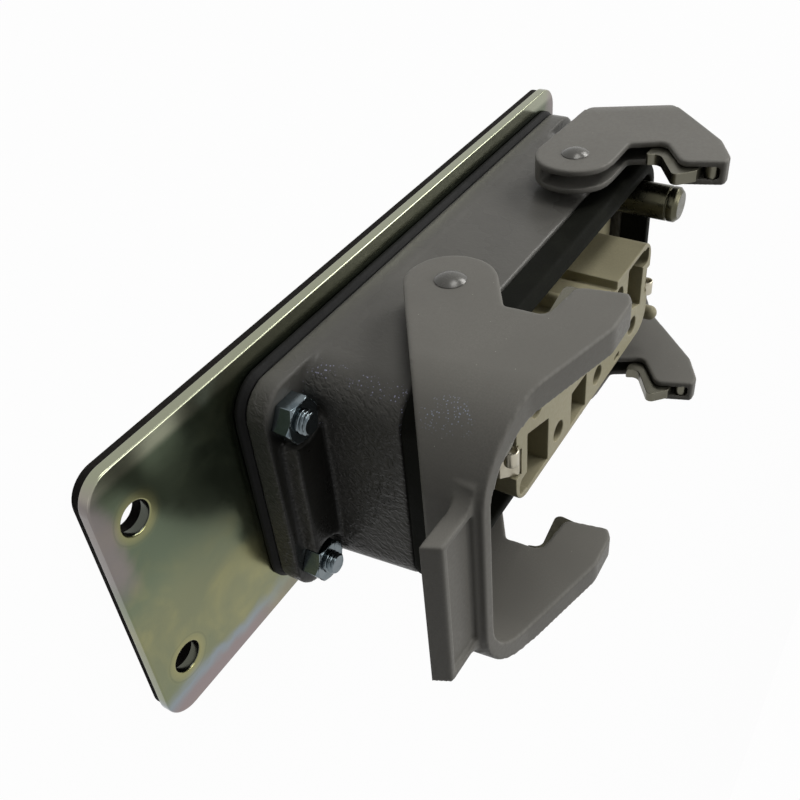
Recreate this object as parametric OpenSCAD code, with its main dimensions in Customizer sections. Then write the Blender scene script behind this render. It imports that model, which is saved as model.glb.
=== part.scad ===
// Rectangular heavy duty connector: bulkhead housing with two locking levers on an adapter plate.
// +Z is the mating direction. The origin is the centre of the four panel holes, on the back face
// of the panel gasket.

/* [Panel plate] */
// Distance from the panel holes to the ends of the adapter plate
plate_end = 6.5; // [5:0.25:12]
// Distance from the panel holes to the long edges of the adapter plate
plate_side = 10.5; // [9:0.25:14]
// Thickness of the adapter plate
plate_t = 2; // [1.5:0.25:4]
// Corner radius of the adapter plate
plate_r = 5; // [2:0.5:8]
// Distance along X between the panel holes
panel_dx = 130; // [128:0.5:132]
// Distance along Y between the panel holes
panel_dy = 32; // [30:0.5:34]
// Radius of each panel hole
panel_hole_r = 2.65; // [2.3:0.05:3]
// Thickness of the foam gasket behind the plate
panel_gasket_t = 1.5; // [0.8:0.1:3]
// How far the foam gasket stays back from the plate's edge
panel_gasket_inset = 0.4; // [0:0.1:1.5]
// Room around the housing's cavity in the wire cut-out
cutout_room = 0.4; // [0:0.1:0.8]

/* [Housing flange] */
// Distance from the flange holes to the ends of the flange
flange_end = 5; // [4.5:0.25:8]
// Ledge of the flange along the long sides of the body
flange_ledge = 0.35; // [0.2:0.05:2]
// Thickness of the housing flange
flange_t = 4.1; // [3:0.1:6]
// Corner radius of the housing flange
flange_r = 6; // [3:0.5:8]
// Distance from the body's foot to the flange holes
flange_hole_out = 4.3; // [4.2:0.05:5.5]
// Radius of each flange hole
flange_hole_r = 2.3; // [2.1:0.05:2.6]
// Thickness of the flange gasket
flange_gasket_t = 1.7; // [1:0.1:3]
// How far the gasket lip stands out around the flange
gasket_lip = 0.5; // [0:0.1:1.5]

/* [Housing body] */
// Height of the housing body above its flange
body_h = 17.1; // [15:0.1:22]
// Wall at the body's two ends, at its rim
end_wall = 3.1; // [2.5:0.1:4]
// Wall along the body's long sides, at its rim
side_wall = 2.8; // [2.2:0.1:3.6]
// How much the end walls thicken towards the flange
end_draft = 0.8; // [0.2:0.1:1.5]
// How much the side walls thicken towards the flange
side_draft = 1.3; // [0.2:0.1:1.8]
// Corner radius of the body
body_r = 6; // [4:0.5:8]
// Room between the insert's ends and the cavity
insert_room_x = 1.05; // [0.3:0.05:1.5]
// Room between the insert's sides and the cavity
insert_room_y = 0.7; // [0.3:0.05:1.2]
// Corner radius of the cavity
cavity_r = 3; // [1:0.25:3.5]
// Height of the raised pad between the two nuts
end_pad_h = 3; // [1:0.1:4]
// Height of the mating seal above the rim
seal_h = 5.8; // [4:0.1:8]
// Width of the bevel on the seal's upper edge
seal_bevel = 1.1; // [0.4:0.1:1.6]

/* [Insert] */
// Distance from the insert's fixings to its ends
fixing_end = 3.5; // [3.2:0.1:4.5]
// Distance from the insert's fixings to its long sides
fixing_side = 3.5; // [3.2:0.1:4]
// Thickness of the insert's base
insert_base_t = 7.5; // [6:0.1:9]
// Height of the insert seat above the flange's back face
insert_seat = 11.8; // [11:0.1:13]
// Length of the mating tower
tower_l = 61; // [60:0.1:63]
// Width of the mating tower
tower_w = 21; // [20.6:0.1:22]
// Height of the mating tower above the base
tower_h = 13.2; // [11:0.1:15]
// Corner radius of the mating tower
tower_r = 4.5; // [3:0.25:5]
// Length of the terminal block behind the base
block_l = 65; // [62:0.5:66]
// Width of the terminal block
block_w = 29; // [27:0.5:31]
// Depth of the terminal block behind the base
block_h = 10.5; // [9:0.1:11]
// Distance along X between the insert's fixings
fixing_dx = 77.5; // [77:0.1:78]
// Distance along Y between the insert's fixings
fixing_dy = 27; // [26.6:0.1:27.4]
// Pitch of the contact columns
contact_pitch = 9; // [8.8:0.1:9.2]
// Distance of each contact row from the centre line
contact_row = 6.2; // [6:0.1:6.4]
// Outer radius of a contact sleeve
contact_r = 2.3; // [2.1:0.05:2.4]
// Radius of the socket in a contact sleeve
socket_r = 1.75; // [1.4:0.05:1.85]
// Radius of the hole in the mating face over each contact
entry_r = 2; // [1.9:0.05:2.05]

/* [Levers] */
// Distance along X between the two lever pivots
pivot_dx = 48.2; // [47:0.1:49]
// Height of the pivots above the back of the flange
pivot_h = 18; // [17:0.1:18.1]
// Gap between the flange's side and the inner face of a lever's arm
arm_gap = 1.15; // [0.8:0.05:3]
// Thickness of a lever's arm
arm_t = 4.8; // [4.2:0.1:5.4]
// Thickness of each cheek of an arm, beside its slot
cheek_t = 1.2; // [1:0.05:1.5]
// Distance from the pivot to the outer face of the crossbar, square to that face
reach = 32.9; // [32:0.1:36]
// Thickness of the crossbar
crossbar_t = 2; // [1.6:0.1:3.2]
// Outer radius of the bend from arm to crossbar
bend_r = 14.5; // [9:0.5:16]
// Thickness of the wall in the middle of that bend
bend_wall = 3.2; // [2.8:0.1:3.6]
// Angle by which the crossbar leans out towards the mating side
crossbar_lean = 27; // [20:1:32]
// Radius of the rounded end around the pivot
hub_r = 7.5; // [7:0.1:8]
// Distance from the pivot to the arm's panel-side edge at the crossbar
heel = 7; // [6:0.1:7.4]
// Depth of the mouth for the locking peg, from the pivot
mouth_s = 11.7; // [11:0.1:12.5]
// Width of the handle tab
tab_w = 30; // [24:0.1:32]
// Length of the handle tab beyond the crossbar
tab_l = 8.4; // [7:0.1:14]
// Thickness of the handle tab
tab_t = 2.9; // [2.4:0.1:3.6]
// Angle between the handle tab and the arm
tab_angle = 35; // [30:1:40]
// Step from the crossbar's edge down to the handle tab
tab_step = 1.3; // [1:0.1:2.5]
// Radius of the flare at both sides of the tab's root
tab_flare = 3.5; // [2:0.5:5]
// Rim around the recess in the tab
tab_rim = 1.2; // [1:0.1:2.5]
// Depth of the recess in the tab
tab_recess = 0.8; // [0.2:0.1:1]
// Angle of the near lever above the panel
near_angle = 33.6; // [3:0.2:60]
// Angle of the far lever above the panel
far_angle = 2.4; // [2:0.2:60]

/* [Fastenings] */
// Radius of the pivot pin's shank
pin_r = 1.9; // [1.6:0.05:2.1]
// Radius of the pivot pin's domed head
pin_head_r = 2.6; // [2.5:0.05:3.2]
// Height of the pivot pin's head
pin_head_h = 0.9; // [0.6:0.1:1.4]
// Radius of the pivot boss on the housing
boss_r = 3.1; // [2.8:0.05:3.2]
// Radius of a flange screw's thread
screw_r = 1.98; // [1.9:0.01:2]
// Size of a flange nut across its flats
nut_af = 7; // [6.8:0.1:7.2]
// Height of a flange nut
nut_h = 3.2; // [2.6:0.1:3.6]
// Length of screw that stands out of the nut
screw_tip = 1.6; // [0.5:0.1:2.5]
// Radius of the guide pin and the guide bush
guide_r = 3.55; // [3.2:0.05:3.7]
// Height of the guide pin above the insert's base
guide_h = 15.7; // [14:0.1:18]

/* [Hidden] */
$fn = 64;
eps = 0.01;
fit_gap = 0.05;
slide_gap = 0.2;

// The insert sets the cavity, the cavity sets the body, and the body sets its flange and levers
insert_l = fixing_dx + 2 * fixing_end;
insert_w = fixing_dy + 2 * fixing_side;
cavity_l = insert_l + 2 * insert_room_x;
cavity_w = insert_w + 2 * insert_room_y;
body_rim_l = cavity_l + 2 * end_wall;
body_rim_w = cavity_w + 2 * side_wall;
body_base_l = body_rim_l + 2 * end_draft;
body_base_w = body_rim_w + 2 * side_draft;
flange_dx = body_base_l + 2 * flange_hole_out;
flange_l = flange_dx + 2 * flange_end;
flange_w = body_base_w + 2 * flange_ledge;
lever_w = flange_w + 2 * (arm_gap + arm_t);
cutout_l = cavity_l + 2 * cutout_room;
cutout_w = cavity_w + 2 * cutout_room;
plate_l = panel_dx + 2 * plate_end;
plate_w = panel_dy + 2 * plate_side;

// Levels along Z
z_plate = panel_gasket_t;
z_gasket = z_plate + plate_t;
z_flange = z_gasket + flange_gasket_t;
z_flange_top = z_flange + flange_t;
z_rim = z_flange_top + body_h;
z_seal_top = z_rim + seal_h;
z_seat = z_flange + insert_seat;
z_base_top = z_seat + insert_base_t;
z_tower_top = z_base_top + tower_h;
z_block = z_seat - block_h;
z_pivot = z_flange + pivot_h;

// Places along X: the flange's far holes share the panel's far holes
housing_x = (panel_dx - flange_dx) / 2;
near_screw_x = housing_x - flange_dx / 2;
near_pivot_x = housing_x - pivot_dx / 2;
far_pivot_x = housing_x + pivot_dx / 2;

// Lever sections across Y
arm_out = lever_w / 2;
arm_in = arm_out - arm_t;
slot_out = arm_out - cheek_t;
slot_in = arm_in + cheek_t;
plate_gap = 0.08;
reach_in = reach - crossbar_t;
bend_in_r = bend_r + (sqrt(2) * bend_wall - crossbar_t - arm_t) / (2 - sqrt(2));

// Lever outline in its own plane: s runs outward from the pivot, t towards the mating side
slope_angle = 48;
edge_t = 0.85;
edge_s = (reach + edge_t * sin(crossbar_lean)) / cos(crossbar_lean);
knee_s = 28.8;
knee_t = 8.4;
brow_s = 16.3;
nose_t = 26.1;
nose_front_s = 10.2;
nose_back_s = 7.9;
lip_s = 4.9;
lip_t = 18.8;
mouth_t = 13.2;
mouth_foot_s = 8.2;
mouth_foot_t = hub_r - 0.2;
arm_over = 12;
arm_end = reach + arm_over;
plan_l = 2 * (reach + arm_end);
tab_root = crossbar_t / 2;
tab_toe = 1.4;

// Slot in each arm, and the pin across it
slot_end_s = 20;
slot_margin = 3.2;
nose_wall = 1;
nose_pin_s = 8.6;
nose_pin_t = 23.4;
nose_pin_r = 1.3;

// Spring hook plate: it hangs on the nose pin and stands out into the mouth
near_hook_turn = 8;
far_hook_turn = 0;
plate_back_s = 16;
tooth_s = 7.4;
tooth_t = 10.9;
throat_s = 8.6;
throat_t = 13.4;
hook_s = 1.4;
hook_t = 18.6;
hook_foot_s = 4.9;
hook_foot_t = 21.8;

// Insert pockets, on one half of the tower: the other half is the same turned by 180 degrees
pocket_depth = tower_h - 1;
pocket_wall = 1.1;
pocket_a_len = 8.3;
pocket_a_top = 3.2;
pocket_a_dip = 3;
pocket_a_foot_r = 1.2;
pocket_a_foot = 2.8;
pocket_a_foot_w = 3.6;
pocket_b_len = 6.7;
pocket_b_w = 7.6;
coding_len = 2.5;
coding_w = 1.2;
coding_depth = 3;
rib_len = 2.2;
rib_out = 2.5;
rib_drop = 1;
step_x = contact_pitch / 2 + pocket_b_len / 2 + 1;
step_len = 3.1;
step_depth = 1.8;

// Fixings of the insert
thread_r = 1.65;
fixing_hole_r = 2.2;
fixing_head_r = 3.4;
fixing_head_h = 2.6;
fixing_sink = 3.4;
fixing_bite = 8;
coding_pin_r = 1.6;
guide_chamfer = 0.8;
guide_line = 0.35;
guide_line_gap = 2.4;

// Contacts and their terminal screws
contact_top_gap = 2.2;
contact_collar_r = 3;
contact_collar_h = 2;
contact_tail = 7;
clamp_w = 6.4;
clamp_l = 7;
clamp_h = 7.5;
terminal_screw_r = 1.6;
terminal_head_r = 2.2;
terminal_head_h = 1.6;
wire_hole_r = 1.9;

// Earth strips at both ends of the insert
earth_w = 5.6;
earth_y = 0.8;
earth_t = 0.7;
earth_foot = 6;
earth_gap = 0.4;
earth_leg = 4;
earth_leg_in = 2.6;
earth_slant = 2.3;
earth_top_sink = 0.2;
earth_roll_r = 1.25;
earth_roll_l = 3;
earth_hole_r = 1.6;
earth_head_r = 2.3;
earth_head_h = 1.5;
earth_bite = 4.5;
earth_x = tower_l / 2 + earth_gap + earth_t + slide_gap + earth_head_r;
earth_roll_x = tower_l / 2 + earth_gap + earth_t - earth_slant / 2 + earth_roll_r * 0.6;
earth_roll_z = tower_h - earth_top_sink - earth_slant / 2 + earth_roll_r * 0.6;

screw_head_r = 3.9;
screw_head_h = plate_t - 0.1;
nut_seat_r = nut_af / 2 / cos(30) + 0.7;
pin_depth = 4.2;

// Each contact's place as [column, row]
CONTACTS = [for (c = [-1.5, 0.5, 2.5]) [c * contact_pitch, -contact_row],
            for (c = [-2.5, -0.5, 1.5]) [c * contact_pitch, contact_row]];

// A rectangle with round corners, centred on the origin
module rounded(l, w, r) {
    union() {
        square([l - 2 * r, w], center = true);
        square([l, w - 2 * r], center = true);
        for (x = [-1, 1], y = [-1, 1]) translate([x * (l / 2 - r), y * (w / 2 - r)]) circle(r);
    }
}

module slab(l, w, r, h) {
    linear_extrude(h) rounded(l, w, r);
}

// A slab that narrows evenly from its foot to its top
module tapered(l0, w0, l1, w1, r, h) {
    hull() {
        linear_extrude(eps) rounded(l0, w0, r, $fn = 32);
        translate([0, 0, h - eps]) linear_extrude(eps) rounded(l1, w1, r, $fn = 32);
    }
}

module at_housing(z = 0) {
    translate([housing_x, 0, z]) children();
}

module at_corners(dx, dy) {
    for (x = [-1, 1], y = [-1, 1]) translate([x * dx / 2, y * dy / 2, 0]) children();
}

module panel_holes(h) {
    at_corners(panel_dx, panel_dy) translate([0, 0, -eps]) cylinder(h = h + 2 * eps, r = panel_hole_r);
}

module near_screw_holes(r, h) {
    for (y = [-1, 1]) {
        translate([near_screw_x, y * panel_dy / 2, -eps]) cylinder(h = h + 2 * eps, r = r);
    }
}

module panel_gasket() {
    color([0.07, 0.07, 0.07]) difference() {
        slab(plate_l - 2 * panel_gasket_inset, plate_w - 2 * panel_gasket_inset,
             plate_r - panel_gasket_inset, panel_gasket_t);
        at_housing(-eps) slab(cutout_l, cutout_w, cavity_r, panel_gasket_t + 2 * eps);
        panel_holes(panel_gasket_t);
    }
}

module adapter_plate() {
    color([0.62, 0.6, 0.4]) translate([0, 0, z_plate]) difference() {
        slab(plate_l, plate_w, plate_r, plate_t);
        at_housing(-eps) slab(cutout_l, cutout_w, cavity_r, plate_t + 2 * eps);
        panel_holes(plate_t);
        near_screw_holes(flange_hole_r, plate_t);
        for (y = [-1, 1]) translate([near_screw_x, y * panel_dy / 2, -eps]) {
            cylinder(h = screw_head_h + fit_gap + eps, r1 = screw_head_r + fit_gap, r2 = screw_r + fit_gap);
        }
    }
}

module flange_gasket() {
    color([0.06, 0.06, 0.06]) translate([0, 0, z_gasket]) difference() {
        union() {
            at_housing() slab(flange_l, flange_w, flange_r, flange_gasket_t);
            at_housing() slab(flange_l + 2 * gasket_lip, flange_w + 2 * gasket_lip, flange_r + gasket_lip,
                              flange_gasket_t / 2);
        }
        at_housing(-eps) slab(cutout_l, cutout_w, cavity_r, flange_gasket_t + 2 * eps);
        at_housing(-eps) at_corners(flange_dx, panel_dy) {
            cylinder(h = flange_gasket_t + 2 * eps, r = flange_hole_r);
        }
    }
}

// The raised pad between the two nuts at the near end of the flange
module end_pad() {
    pad_l = (flange_l - body_rim_l) / 2 - 2.4;
    translate([-body_rim_l / 2 - pad_l, -panel_dy / 2, z_flange_top - eps]) {
        cube([pad_l + 2, panel_dy, end_pad_h + eps]);
    }
}

// Corner blocks inside the cavity that carry the insert's fixings
module insert_seats() {
    inner_x = fixing_dx / 2 - fixing_head_r - 0.9;
    inner_y = fixing_dy / 2 - fixing_head_r - 0.9;
    for (x = [-1, 1], y = [-1, 1]) scale([x, y, 1]) translate([inner_x, inner_y, z_flange]) {
        cube([cavity_l / 2 - inner_x + 1, cavity_w / 2 - inner_y + 1, insert_seat]);
    }
}

module pivot_bosses() {
    for (x = [-1, 1]) translate([x * pivot_dx / 2, 0, z_pivot]) rotate([90, 0, 0]) {
        difference() {
            cylinder(h = 2 * (arm_in - slide_gap), r = boss_r, center = true);
            cylinder(h = cavity_w + 2, r = boss_r + 1, center = true);
        }
    }
}

module housing_solid() {
    translate([0, 0, z_flange]) slab(flange_l, flange_w, flange_r, flange_t);
    translate([0, 0, z_flange_top - eps]) {
        tapered(body_base_l, body_base_w, body_rim_l, body_rim_w, body_r, body_h + eps);
    }
    end_pad();
    mirror([1, 0, 0]) end_pad();
    pivot_bosses();
}

module housing_shell() {
    color([0.4, 0.4, 0.38]) at_housing() {
        difference() {
            housing_solid();
            translate([0, 0, z_flange - eps]) slab(cavity_l, cavity_w, cavity_r, flange_t + body_h + 2 * eps);
            translate([0, 0, z_flange]) at_corners(flange_dx, panel_dy) {
                translate([0, 0, -eps]) cylinder(h = flange_t + 2 * eps, r = flange_hole_r);
                translate([0, 0, flange_t]) cylinder(h = end_pad_h + 1, r = nut_seat_r);
            }
            for (x = [-1, 1], y = [-1, 1]) translate([x * pivot_dx / 2, y * arm_in, z_pivot]) {
                rotate([y * 90, 0, 0]) cylinder(h = pin_depth + fit_gap, r = pin_r + 0.02);
            }
        }
        difference() {
            insert_seats();
            translate([0, 0, z_seat - fixing_bite]) at_corners(fixing_dx, fixing_dy) {
                cylinder(h = fixing_bite + eps, r = thread_r);
            }
        }
    }
}

module mating_seal() {
    straight = seal_h - seal_bevel;
    color([0.05, 0.05, 0.05]) at_housing(z_rim) difference() {
        union() {
            slab(body_rim_l, body_rim_w, body_r, straight);
            translate([0, 0, straight - eps]) {
                tapered(body_rim_l, body_rim_w, body_rim_l - 2 * seal_bevel, body_rim_w - 2 * seal_bevel,
                        body_r - seal_bevel / 2, seal_bevel + eps);
            }
        }
        translate([0, 0, -eps]) slab(cavity_l, cavity_w, cavity_r, seal_h + 2 * eps);
    }
}

// Half of the pockets in the mating tower, seen from the mating side
module half_pockets() {
    left = -2.5 * contact_pitch - pocket_a_len / 2 + 0.4;
    low = -tower_w / 2 + pocket_wall;
    right = left + pocket_a_len;
    polygon([[left, low], [right, low], [right, pocket_a_top - pocket_a_dip], [left, pocket_a_top]]);
    translate([left - pocket_a_foot / 2 + pocket_a_foot_r / 2, low + 0.4 + pocket_a_foot_w / 2]) {
        rounded(pocket_a_foot + pocket_a_foot_r, pocket_a_foot_w, pocket_a_foot_r);
    }
    translate([-0.5 * contact_pitch - pocket_b_len / 2, low]) square([pocket_b_len, pocket_b_w]);
}

module half_coding() {
    translate([1.5 * contact_pitch, -tower_w / 2 + pocket_wall]) square([coding_len, coding_w]);
}

// Step in one long side of the tower
module side_step() {
    translate([step_x, tower_w / 2 - step_depth, z_base_top]) cube([step_len, step_depth + 1, tower_h + eps]);
}

module half_rib() {
    translate([0, tower_w / 2 - eps, z_base_top - eps]) {
        translate([-rib_len / 2, 0, 0]) cube([rib_len, rib_out - rib_len / 2, tower_h - rib_drop]);
        translate([0, rib_out - rib_len / 2, 0]) cylinder(h = tower_h - rib_drop, r = rib_len / 2);
    }
}

module turned_pair() {
    children();
    rotate(180) children();
}

// The room that one contact and its clamp take inside the insert
module contact_room(grow = 0) {
    translate([0, 0, z_block - eps]) {
        translate([-clamp_w / 2 - grow, -clamp_l / 2 - grow, 0]) {
            cube([clamp_w + 2 * grow, clamp_l + 2 * grow, clamp_h + eps]);
        }
        cylinder(h = block_h + contact_collar_h + eps, r = contact_collar_r + grow);
    }
    translate([0, 0, z_seat]) {
        cylinder(h = insert_base_t + tower_h - contact_top_gap, r = contact_r + grow);
    }
    translate([0, 0, z_tower_top - contact_top_gap - eps]) cylinder(h = contact_top_gap + 2 * eps, r = entry_r);
}

module insert_body() {
    color([0.6, 0.58, 0.48]) at_housing() difference() {
        union() {
            translate([0, 0, z_block]) slab(block_l, block_w, 2, block_h + eps);
            translate([0, 0, z_seat]) slab(insert_l, insert_w, 2.5, insert_base_t);
            translate([0, 0, z_base_top - eps]) slab(tower_l, tower_w, tower_r, tower_h + eps);
            turned_pair() half_rib();
        }
        side_step();
        turned_pair() strip_seat();
        translate([0, 0, z_tower_top - pocket_depth]) linear_extrude(pocket_depth + eps) {
            turned_pair() half_pockets();
        }
        translate([0, 0, z_tower_top - coding_depth]) linear_extrude(coding_depth + eps) {
            turned_pair() half_coding();
        }
        for (c = CONTACTS) {
            translate(c) contact_room(fit_gap);
            wire_access(c);
        }
        at_corners(fixing_dx, fixing_dy) translate([0, 0, z_seat - eps]) {
            cylinder(h = insert_base_t + 2 * eps, r = fixing_hole_r);
            translate([0, 0, insert_base_t - fixing_sink]) {
                cylinder(h = fixing_sink + 2 * eps, r = guide_r + fit_gap);
            }
        }
        for (x = [-1, 1]) translate([x * earth_x, x * earth_y, z_base_top - earth_bite]) {
            cylinder(h = earth_bite + eps, r = earth_hole_r);
        }
    }
}

// Way in for the screwdriver, from the side of the terminal block
module wire_access(c) {
    side = c[1] > 0 ? 1 : -1;
    translate([c[0], c[1], z_block + clamp_h / 2]) rotate([-90 * side, 0, 0]) {
        cylinder(h = block_w / 2, r = terminal_head_r + 0.3);
    }
}

// A turned socket contact with its clamp for the wire
module contact(i) {
    side = CONTACTS[i][1] > 0 ? 1 : -1;
    color([0.8, 0.79, 0.74]) at_housing() translate(CONTACTS[i]) difference() {
        union() {
            translate([-clamp_w / 2, -clamp_l / 2, z_block]) cube([clamp_w, clamp_l, clamp_h]);
            translate([0, 0, z_block + clamp_h - eps]) {
                cylinder(h = block_h - clamp_h + contact_collar_h, r = contact_collar_r);
            }
            translate([0, 0, z_seat]) {
                cylinder(h = insert_base_t + tower_h - contact_top_gap - fit_gap, r = contact_r);
            }
        }
        translate([0, 0, z_tower_top - contact_top_gap - socket_depth]) {
            cylinder(h = socket_depth, r = socket_r);
        }
        translate([0, 0, z_block - eps]) cylinder(h = contact_tail, r = wire_hole_r);
        translate([0, 0, z_block + clamp_h / 2]) rotate([-90 * side, 0, 0]) {
            cylinder(h = clamp_l / 2 + eps, r = terminal_screw_r + fit_gap);
        }
    }
}

socket_depth = 11;

module terminal_screw(i) {
    side = CONTACTS[i][1] > 0 ? 1 : -1;
    start = wire_hole_r + 0.2;
    color([0.75, 0.75, 0.76]) at_housing() {
        translate([CONTACTS[i][0], CONTACTS[i][1], z_block + clamp_h / 2]) rotate([-90 * side, 0, 0]) {
            difference() {
                union() {
                    translate([0, 0, start]) cylinder(h = clamp_l / 2 - start + eps, r = terminal_screw_r);
                    translate([0, 0, clamp_l / 2]) cylinder(h = terminal_head_h, r = terminal_head_r);
                }
                translate([-terminal_head_r, -0.3, clamp_l / 2 + terminal_head_h - 0.8]) {
                    cube([2 * terminal_head_r, 0.6, 1]);
                }
            }
        }
    }
}

// Side view of the earth strip, from its foot up the tower's end and down into the slot
module strip_profile(grow = 0) {
    out = tower_l / 2 + earth_gap + earth_t + grow;
    inner = tower_l / 2 - earth_leg_in - grow;
    top = tower_h - earth_top_sink + grow;
    toe = top - earth_leg - 2 * grow;
    polygon([[out, -grow], [out, top - earth_slant], [out - earth_slant, top], [inner, top],
             [inner, toe], [inner + earth_t + 2 * grow, toe],
             [inner + earth_t + 2 * grow, top - earth_t - 2 * grow],
             [out - earth_slant - earth_t * 0.4, top - earth_t - 2 * grow],
             [out - earth_t - 2 * grow, top - earth_slant - earth_t * 0.4], [out - earth_t - 2 * grow, -grow]]);
}

// Round bar of the strip's curled lip
module at_roll(r, l) {
    translate([earth_roll_x, earth_y - earth_w / 2, earth_roll_z]) rotate([90, 0, 0]) {
        cylinder(h = l, r = r, center = true);
    }
}

// Slot and notch in the tower's end for the strip and its curled lip
module strip_seat() {
    seat_w = earth_w + 2 * fit_gap;
    translate([0, 0, z_base_top]) {
        translate([0, earth_y, 0]) across(seat_w) union() {
            strip_profile(fit_gap);
            polygon([[tower_l / 2 - earth_leg_in + earth_t, tower_h - earth_top_sink - earth_t],
                     [tower_l / 2 - earth_leg_in + earth_t, tower_h + 1], [tower_l / 2 + 1, tower_h + 1],
                     [tower_l / 2 + 1, tower_h - earth_top_sink - earth_slant - 2 * earth_t]]);
        }
        at_roll(earth_roll_r + slide_gap, earth_roll_l + 2 * slide_gap);
    }
}

// A bent strip that earths the insert to the other half, with a curled lip at its upper end
module earth_strip(x) {
    color([0.72, 0.7, 0.62]) at_housing(z_base_top) rotate(x < 0 ? 180 : 0) difference() {
        union() {
            translate([tower_l / 2 + earth_gap, earth_y - earth_w / 2, 0]) cube([earth_foot, earth_w, earth_t]);
            translate([0, earth_y, 0]) across(earth_w) strip_profile();
            difference() {
                at_roll(earth_roll_r, earth_roll_l);
                at_roll(earth_roll_r - earth_t / 2, earth_roll_l + 2 * eps);
            }
        }
        translate([earth_x, earth_y, -eps]) cylinder(h = earth_t + 2 * eps, r = earth_hole_r + fit_gap);
    }
}

module earth_screw(x) {
    color([0.75, 0.75, 0.76]) at_housing(z_base_top + earth_t) translate([x * earth_x, x * earth_y, 0]) {
        difference() {
            union() {
                cylinder(h = earth_head_h, r = earth_head_r);
                translate([0, 0, -earth_t - earth_bite + 0.5]) {
                    cylinder(h = earth_t + earth_bite - 0.5 + eps, r = earth_hole_r - fit_gap);
                }
            }
            translate([-earth_head_r, -0.3, earth_head_h - 0.7]) cube([2 * earth_head_r, 0.6, 1]);
        }
    }
}

module at_fixing(x, y) {
    at_housing() translate([x * fixing_dx / 2, y * fixing_dy / 2, z_base_top - fixing_sink]) children();
}

// Shank below the head of anything that is screwed through the insert into the housing
module fixing_shank() {
    reach_down = insert_base_t - fixing_sink + fixing_bite - 1;
    translate([0, 0, -reach_down]) cylinder(h = reach_down + eps, r = thread_r - fit_gap);
}

module guide_pin() {
    top = fixing_sink + guide_h;
    color([0.5, 0.49, 0.45]) at_fixing(1, 1) union() {
        fixing_shank();
        difference() {
            union() {
                cylinder(h = top - guide_chamfer, r = guide_r);
                translate([0, 0, top - guide_chamfer]) {
                    cylinder(h = guide_chamfer, r1 = guide_r, r2 = guide_r - guide_chamfer);
                }
            }
            translate([0, 0, top - guide_line_gap]) difference() {
                cylinder(h = guide_line, r = guide_r + 1);
                translate([0, 0, -eps]) cylinder(h = guide_line + 2 * eps, r = guide_r - guide_line);
            }
        }
    }
}

module guide_bush() {
    color([0.42, 0.41, 0.38]) at_fixing(-1, 1) union() {
        fixing_shank();
        difference() {
            cylinder(h = fixing_sink + guide_h, r = guide_r);
            translate([0, 0, fixing_sink + 2]) cylinder(h = guide_h, r = guide_r - 1.2);
        }
    }
}

module insert_screw() {
    color([0.72, 0.72, 0.73]) at_fixing(-1, -1) difference() {
        union() {
            fixing_shank();
            cylinder(h = fixing_head_h, r = fixing_head_r);
        }
        translate([-fixing_head_r, -0.4, fixing_head_h - 1.1]) cube([2 * fixing_head_r, 0.8, 2]);
    }
}

module coding_pin() {
    color([0.58, 0.56, 0.46]) at_fixing(1, -1) union() {
        fixing_shank();
        cylinder(h = fixing_head_h, r = fixing_head_r);
        cylinder(h = fixing_sink + tower_h - coding_pin_r, r = coding_pin_r);
        translate([0, 0, fixing_sink + tower_h - coding_pin_r]) sphere(r = coding_pin_r);
    }
}

module flange_screw(y) {
    top = z_flange_top + nut_h + screw_tip;
    color([0.66, 0.69, 0.72]) translate([near_screw_x, y * panel_dy / 2, z_plate]) union() {
        cylinder(h = screw_head_h, r1 = screw_head_r, r2 = screw_r);
        translate([0, 0, screw_head_h - eps]) cylinder(h = top - z_plate - screw_head_h - 0.4, r = screw_r);
        translate([0, 0, top - z_plate - 0.4 - 2 * eps]) cylinder(h = 0.4, r1 = screw_r, r2 = screw_r - 0.4);
    }
}

module flange_nut(y) {
    corner_r = nut_af / 2 / cos(30);
    color([0.66, 0.69, 0.72]) translate([near_screw_x, y * panel_dy / 2, z_flange_top]) difference() {
        intersection() {
            cylinder(h = nut_h, r = corner_r, $fn = 6);
            union() {
                cylinder(h = nut_h - 0.4, r = corner_r + eps);
                translate([0, 0, nut_h - 0.4]) cylinder(h = 0.4, r1 = corner_r, r2 = corner_r - 0.55);
            }
        }
        translate([0, 0, -eps]) cylinder(h = nut_h + 2 * eps, r = screw_r + 0.02);
    }
}

function unit(v) = v / norm(v);

// The arc of radius r that rounds the corner b between its neighbours a and c
function corner_arc(a, b, c, r, steps = 8) =
    let (u = unit(a - b), v = unit(c - b), half = acos(u * v) / 2, centre = b + unit(u + v) * r / sin(half))
    let (first = b + u * r / tan(half) - centre, last = b + v * r / tan(half) - centre)
    [for (i = [0:steps]) centre + unit(first * (1 - i / steps) + last * i / steps) * r];

// An outline whose corners are given as [s, t, radius], with radius 0 for a sharp one
function rounded_path(p) = [
    for (i = [0:len(p) - 1])
        let (a = p[(i + len(p) - 1) % len(p)], b = p[i], c = p[(i + 1) % len(p)])
        each b[2] == 0 ? [[b[0], b[1]]] : corner_arc([a[0], a[1]], [b[0], b[1]], [c[0], c[1]], b[2])
];

// Height of the arm's sloping edge at distance s from the pivot, down to its knee
function slope_t(s) = knee_t + (knee_s - s) * tan(slope_angle);

// Height of that edge from the knee outward, through the crossbar's outer corner
function foot_t(s) = edge_t - (s - edge_s) * (knee_t - edge_t) / (edge_s - knee_s);

// Side view of an arm
module arm_profile() {
    circle(hub_r);
    polygon(rounded_path([
        [0, -hub_r, 0], [arm_end, -heel, 0], [arm_end, foot_t(arm_end), 0], [knee_s, knee_t, 12],
        [brow_s, slope_t(brow_s), 6],
        [nose_front_s, nose_t, 2], [nose_back_s, nose_t, 0.8], [lip_s, lip_t, 1.8], [mouth_s, mouth_t, 1.9],
        [mouth_foot_s, mouth_foot_t, 0.8], [0, hub_r, 0]
    ]));
}

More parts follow.
